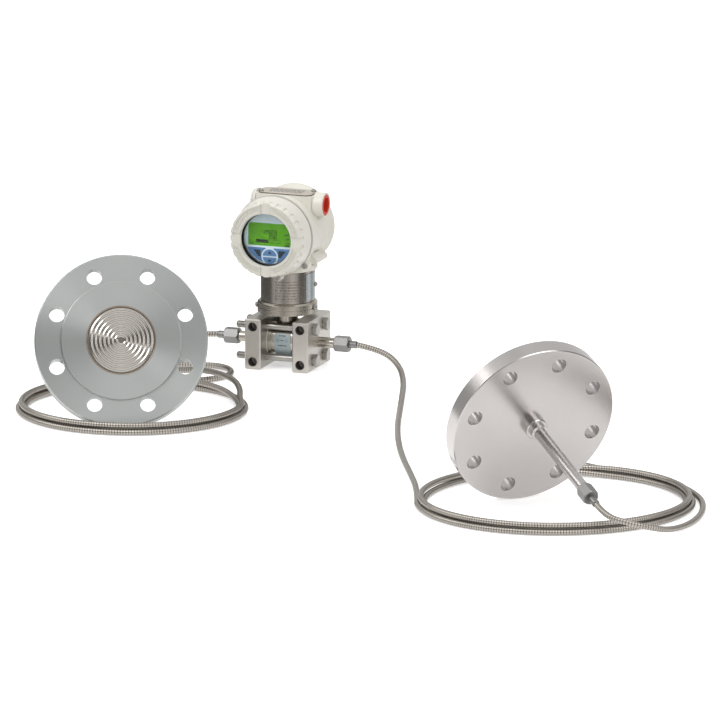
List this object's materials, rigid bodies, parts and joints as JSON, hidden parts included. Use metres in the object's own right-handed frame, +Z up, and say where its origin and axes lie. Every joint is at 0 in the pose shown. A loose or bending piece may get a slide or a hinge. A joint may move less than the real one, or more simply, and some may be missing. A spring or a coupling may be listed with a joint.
{
  "type": "differential pressure transmitter",
  "caption": "Differential pressure transmitter with a round display head and a remote diaphragm seal on a coiled armoured capillary at each side.",
  "frame": {"origin": "on the floor under the axis of the transmitter's neck", "axes": "+Z up along the neck, -Y the way the display and the front bracket holes face, +X to the right of the display; the seals and coils lie in front of the transmitter on the same floor"},
  "size_m": [0.9624, 0.7902, 0.2108],
  "materials": {
    "cast_housing": "satin",
    "steel_plates": "brushed",
    "neck_steel": "brushed",
    "fasteners": "satin",
    "bright_fittings": "polished",
    "seal_steel": "turned",
    "membrane": "fine turned",
    "armour": "wound strip",
    "black_rubber": "matte",
    "white_gasket": "matte",
    "label_film": "satin",
    "window": "clear",
    "bezel": "satin",
    "screen": "back lit",
    "keys": "satin",
    "potting": "matte",
    "terminal_plastic": "matte",
    "red_cap": "satin",
    "button_plastic": "matte"
  },
  "bodies": {
    "base": {"adapter_left": "neck_steel", "adapter_right": "neck_steel", "capillary_coil_left": "armour", "capillary_coil_right": "armour", "capillary_lead_left": "armour", "capillary_lead_right": "armour", "capillary_tail_left": "armour", "capillary_tail_right": "armour", "cell_gaskets": "white_gasket", "cell_label": "label_film", "crimp_sleeve_left": "bright_fittings", "crimp_sleeve_right": "bright_fittings", "flange_bolts": "fasteners", "neck_base": "neck_steel", "neck_base_screws": "fasteners", "neck_body": "neck_steel", "process_flange_left": "steel_plates", "process_flange_right": "steel_plates", "seal_diaphragm_left": "membrane", "seal_diaphragm_right": "membrane", "seal_flange_left": "seal_steel", "seal_flange_right": "seal_steel", "seal_hub_left": "seal_steel", "seal_hub_right": "seal_steel", "seal_nut_left": "bright_fittings", "seal_nut_right": "bright_fittings", "seal_sleeve_left": "bright_fittings", "seal_sleeve_right": "bright_fittings", "seal_stub_left": "seal_steel", "seal_stub_right": "seal_steel", "sensor_cell": "neck_steel", "tag_plate": "label_film", "tag_plate_screw": "fasteners", "union_nut_left": "bright_fittings", "union_nut_right": "bright_fittings"},
    "head": {"housing": "cast_housing", "electronics_module": "potting", "terminal_block": "terminal_plastic", "display_module": "bezel", "lcd_panel": "screen", "cover_lock_screws": "fasteners", "deck_gasket": "black_rubber", "nameplate_screws": "fasteners"},
    "left_key": {"key_left": "keys"},
    "right_key": {"key_right": "keys"},
    "up_key": {"key_up": "keys"},
    "down_key": {"key_down": "keys"},
    "button_1": {"top_button_1": "button_plastic"},
    "button_2": {"top_button_2": "button_plastic"},
    "button_3": {"top_button_3": "button_plastic"},
    "top_plate": {"nameplate": "label_film"},
    "cable_entry_cap": {"conduit_plug": "red_cap"},
    "entry_washer": {"blind_plug_washer": "black_rubber"},
    "entry_plug": {"blind_plug": "cast_housing"},
    "front_seal_ring": {"front_o_ring": "black_rubber"},
    "window_cover": {"front_cover": "cast_housing", "window_glass": "window", "glass_retainer": "fasteners"},
    "rear_seal_ring": {"rear_o_ring": "black_rubber"},
    "back_cover": {"rear_cover": "cast_housing"}
  },
  "joints": [
    {"name": "head_turn", "type": "hinge", "parent": "base", "child": "head", "pos_m": [0, 0, 0.115], "axis": [0, 0, 1], "range_deg": [-180, 180]},
    {"name": "left_key_press", "type": "slide", "parent": "head", "child": "left_key", "axis": [0, 1, 0], "range_m": [0, 0.0008], "stiffness_N_per_m": 400, "springref_m": -0.0004},
    {"name": "right_key_press", "type": "slide", "parent": "head", "child": "right_key", "axis": [0, 1, 0], "range_m": [0, 0.0008], "stiffness_N_per_m": 400, "springref_m": -0.0004},
    {"name": "up_key_press", "type": "slide", "parent": "head", "child": "up_key", "axis": [0, 1, 0], "range_m": [0, 0.0008], "stiffness_N_per_m": 400, "springref_m": -0.0004},
    {"name": "down_key_press", "type": "slide", "parent": "head", "child": "down_key", "axis": [0, 1, 0], "range_m": [0, 0.0008], "stiffness_N_per_m": 400, "springref_m": -0.0004},
    {"name": "button_1_press", "type": "slide", "parent": "head", "child": "button_1", "axis": [0, 0, -1], "range_m": [0, 0.0015], "stiffness_N_per_m": 400, "springref_m": -0.0004},
    {"name": "button_2_press", "type": "slide", "parent": "head", "child": "button_2", "axis": [0, 0, -1], "range_m": [0, 0.0015], "stiffness_N_per_m": 400, "springref_m": -0.0004},
    {"name": "button_3_press", "type": "slide", "parent": "head", "child": "button_3", "axis": [0, 0, -1], "range_m": [0, 0.0015], "stiffness_N_per_m": 400, "springref_m": -0.0004},
    {"name": "top_plate_swing", "type": "hinge", "parent": "head", "child": "top_plate", "pos_m": [-0.029, -0.009, 0.2053], "axis": [0, 0, 1], "range_deg": [-22, 0]},
    {"name": "entry_cap_pull", "type": "slide", "parent": "head", "child": "cable_entry_cap", "axis": [1, 0, 0], "range_m": [0, 0.025]},
    {"name": "entry_washer_travel", "type": "slide", "parent": "head", "child": "entry_washer", "axis": [-1, 0, 0], "range_m": [0, 0.01201]},
    {"name": "entry_plug_screw", "type": "hinge", "parent": "entry_washer", "child": "entry_plug", "pos_m": [-0.0382, 0, 0.193], "axis": [-1, 0, 0], "range_deg": [0, 2880]},
    {"name": "front_ring_travel", "type": "slide", "parent": "head", "child": "front_seal_ring", "axis": [0, -1, 0], "range_m": [0, 0.00901]},
    {"name": "window_cover_screw", "type": "hinge", "parent": "front_seal_ring", "child": "window_cover", "pos_m": [0, -0.0464, 0.1626], "axis": [0, -1, 0], "range_deg": [0, 2160]},
    {"name": "rear_ring_travel", "type": "slide", "parent": "head", "child": "rear_seal_ring", "axis": [0, 1, 0], "range_m": [0, 0.00901]},
    {"name": "back_cover_screw", "type": "hinge", "parent": "rear_seal_ring", "child": "back_cover", "pos_m": [0, 0.0312, 0.1626], "axis": [0, 1, 0], "range_deg": [0, 2160]}
  ],
  "couplings": [
    {"joint": "entry_washer_travel", "follows": "entry_plug_screw", "m_per_rad": 0.00023873},
    {"joint": "front_ring_travel", "follows": "window_cover_screw", "m_per_rad": 0.00023873},
    {"joint": "rear_ring_travel", "follows": "back_cover_screw", "m_per_rad": 0.00023873}
  ]
}
